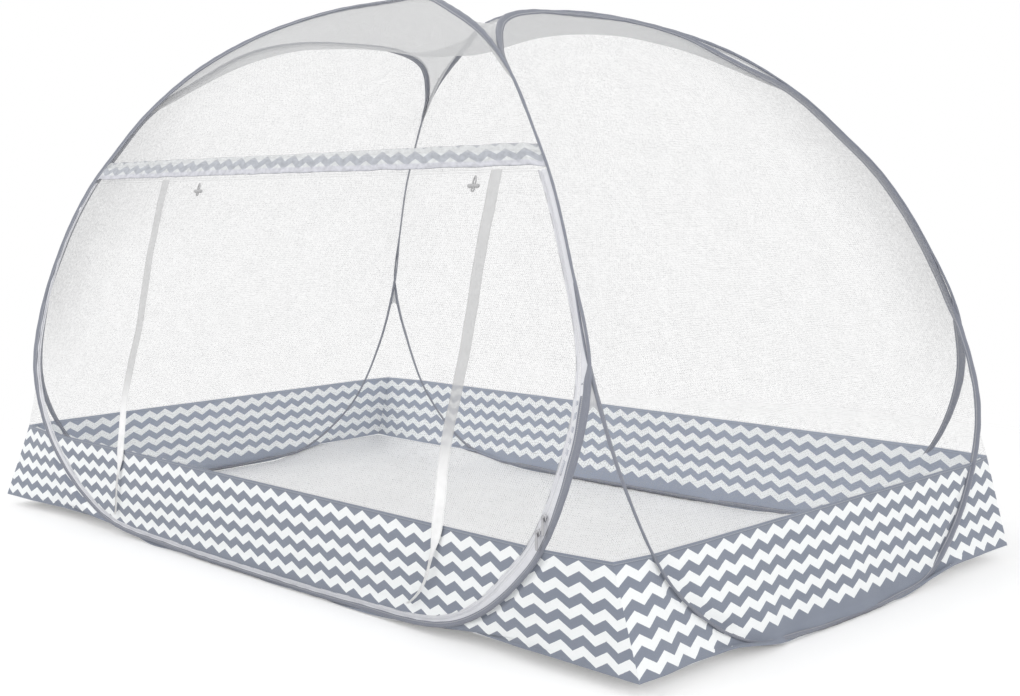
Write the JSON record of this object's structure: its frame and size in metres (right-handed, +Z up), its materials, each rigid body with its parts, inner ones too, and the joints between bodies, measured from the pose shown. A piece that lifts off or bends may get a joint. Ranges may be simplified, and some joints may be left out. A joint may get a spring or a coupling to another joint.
{
  "type": "folding mosquito net",
  "caption": "Free-standing sprung bed net with a zipped mesh door, a soft roof, a printed skirt all round and a floor sheet.",
  "frame": {"origin": "middle of the floor sheet's underside, on the ground", "axes": "+X along the long sides, -Y out through the door at the front, +Z up"},
  "size_m": [2.02, 1.2226, 1.1747],
  "materials": {
    "spring_steel": "oil-tempered round wire",
    "ferrule_steel": "crimped tube",
    "binding_tape": "woven grey-blue tape, folded round the wire",
    "white_mesh": "fine white knitted mesh",
    "printed_cloth": "white cloth with a grey-blue chevron print",
    "floor_cloth": "thin pale grey cloth",
    "roof_cloth": "thin translucent pale grey cloth",
    "zip_white": "white woven tape and cord",
    "zip_metal": "bright plated metal",
    "toggle_plastic": "smooth white plastic"
  },
  "bodies": {
    "net": {"front_wire": "spring_steel", "front_ferrule": "ferrule_steel", "front_sleeve": "binding_tape", "front_mesh": "white_mesh", "right_wire": "spring_steel", "right_ferrule": "ferrule_steel", "right_sleeve": "binding_tape", "right_mesh": "white_mesh", "back_wire": "spring_steel", "back_ferrule": "ferrule_steel", "back_sleeve": "binding_tape", "back_mesh": "white_mesh", "left_wire": "spring_steel", "left_ferrule": "ferrule_steel", "left_sleeve": "binding_tape", "left_mesh": "white_mesh", "right_skirt": "printed_cloth", "back_skirt": "printed_cloth", "left_skirt": "printed_cloth", "corner_skirt_front_right": "printed_cloth", "gusset_front_right": "white_mesh", "corner_skirt_back_right": "printed_cloth", "gusset_back_right": "white_mesh", "corner_skirt_back_left": "printed_cloth", "gusset_back_left": "white_mesh", "corner_skirt_front_left": "printed_cloth", "gusset_front_left": "white_mesh", "roof": "roof_cloth", "floor_sheet": "floor_cloth", "header_band": "printed_cloth", "zip_tape": "zip_white", "zip_coil": "zip_white"},
    "door": {"door_tape": "zip_white", "door_skirt": "printed_cloth", "door_mesh": "white_mesh", "ribbon_left": "zip_white", "ribbon_right": "zip_white"},
    "tie_left": {"tie_loop_left": "zip_white", "toggle_left": "toggle_plastic"},
    "tie_right": {"tie_loop_right": "zip_white", "toggle_right": "toggle_plastic"},
    "slider_upper": {"zip_slider_upper": "zip_metal"},
    "slider_lower": {"zip_slider_lower": "zip_metal"},
    "pull_upper": {"zip_pull_upper": "zip_metal"},
    "pull_lower": {"zip_pull_lower": "zip_metal"}
  },
  "joints": [
    {"name": "door_swing", "type": "hinge", "parent": "net", "child": "door", "pos_m": [0, -0.49933, 0.806], "axis": [-1, 0, 0], "range_deg": [0, 85]},
    {"name": "tie_left_swing", "type": "hinge", "parent": "door", "child": "tie_left", "pos_m": [-0.27, -0.50696, 0.79745], "axis": [-1, 0, 0], "range_deg": [0, 60]},
    {"name": "tie_right_swing", "type": "hinge", "parent": "door", "child": "tie_right", "pos_m": [0.58, -0.50696, 0.79745], "axis": [-1, 0, 0], "range_deg": [0, 60]},
    {"name": "slider_upper_run", "type": "hinge", "parent": "net", "child": "slider_upper", "pos_m": [0.52206, -0.4482, 0.42119], "axis": [-0.3685, -0.9081, 0.199], "range_deg": [0, 14]},
    {"name": "slider_lower_run", "type": "hinge", "parent": "net", "child": "slider_lower", "pos_m": [0.48688, -0.54155, 0.44336], "axis": [0.1415, 0.9853, -0.0954], "range_deg": [0, 15]},
    {"name": "pull_upper_swing", "type": "hinge", "parent": "slider_upper", "child": "pull_upper", "pos_m": [0.83178, -0.61218, 0.26204], "axis": [-1, 0, 0], "range_deg": [0, 90]},
    {"name": "pull_lower_swing", "type": "hinge", "parent": "slider_lower", "child": "pull_lower", "pos_m": [0.81832, -0.61261, 0.23604], "axis": [-1, 0, 0], "range_deg": [0, 90]}
  ]
}
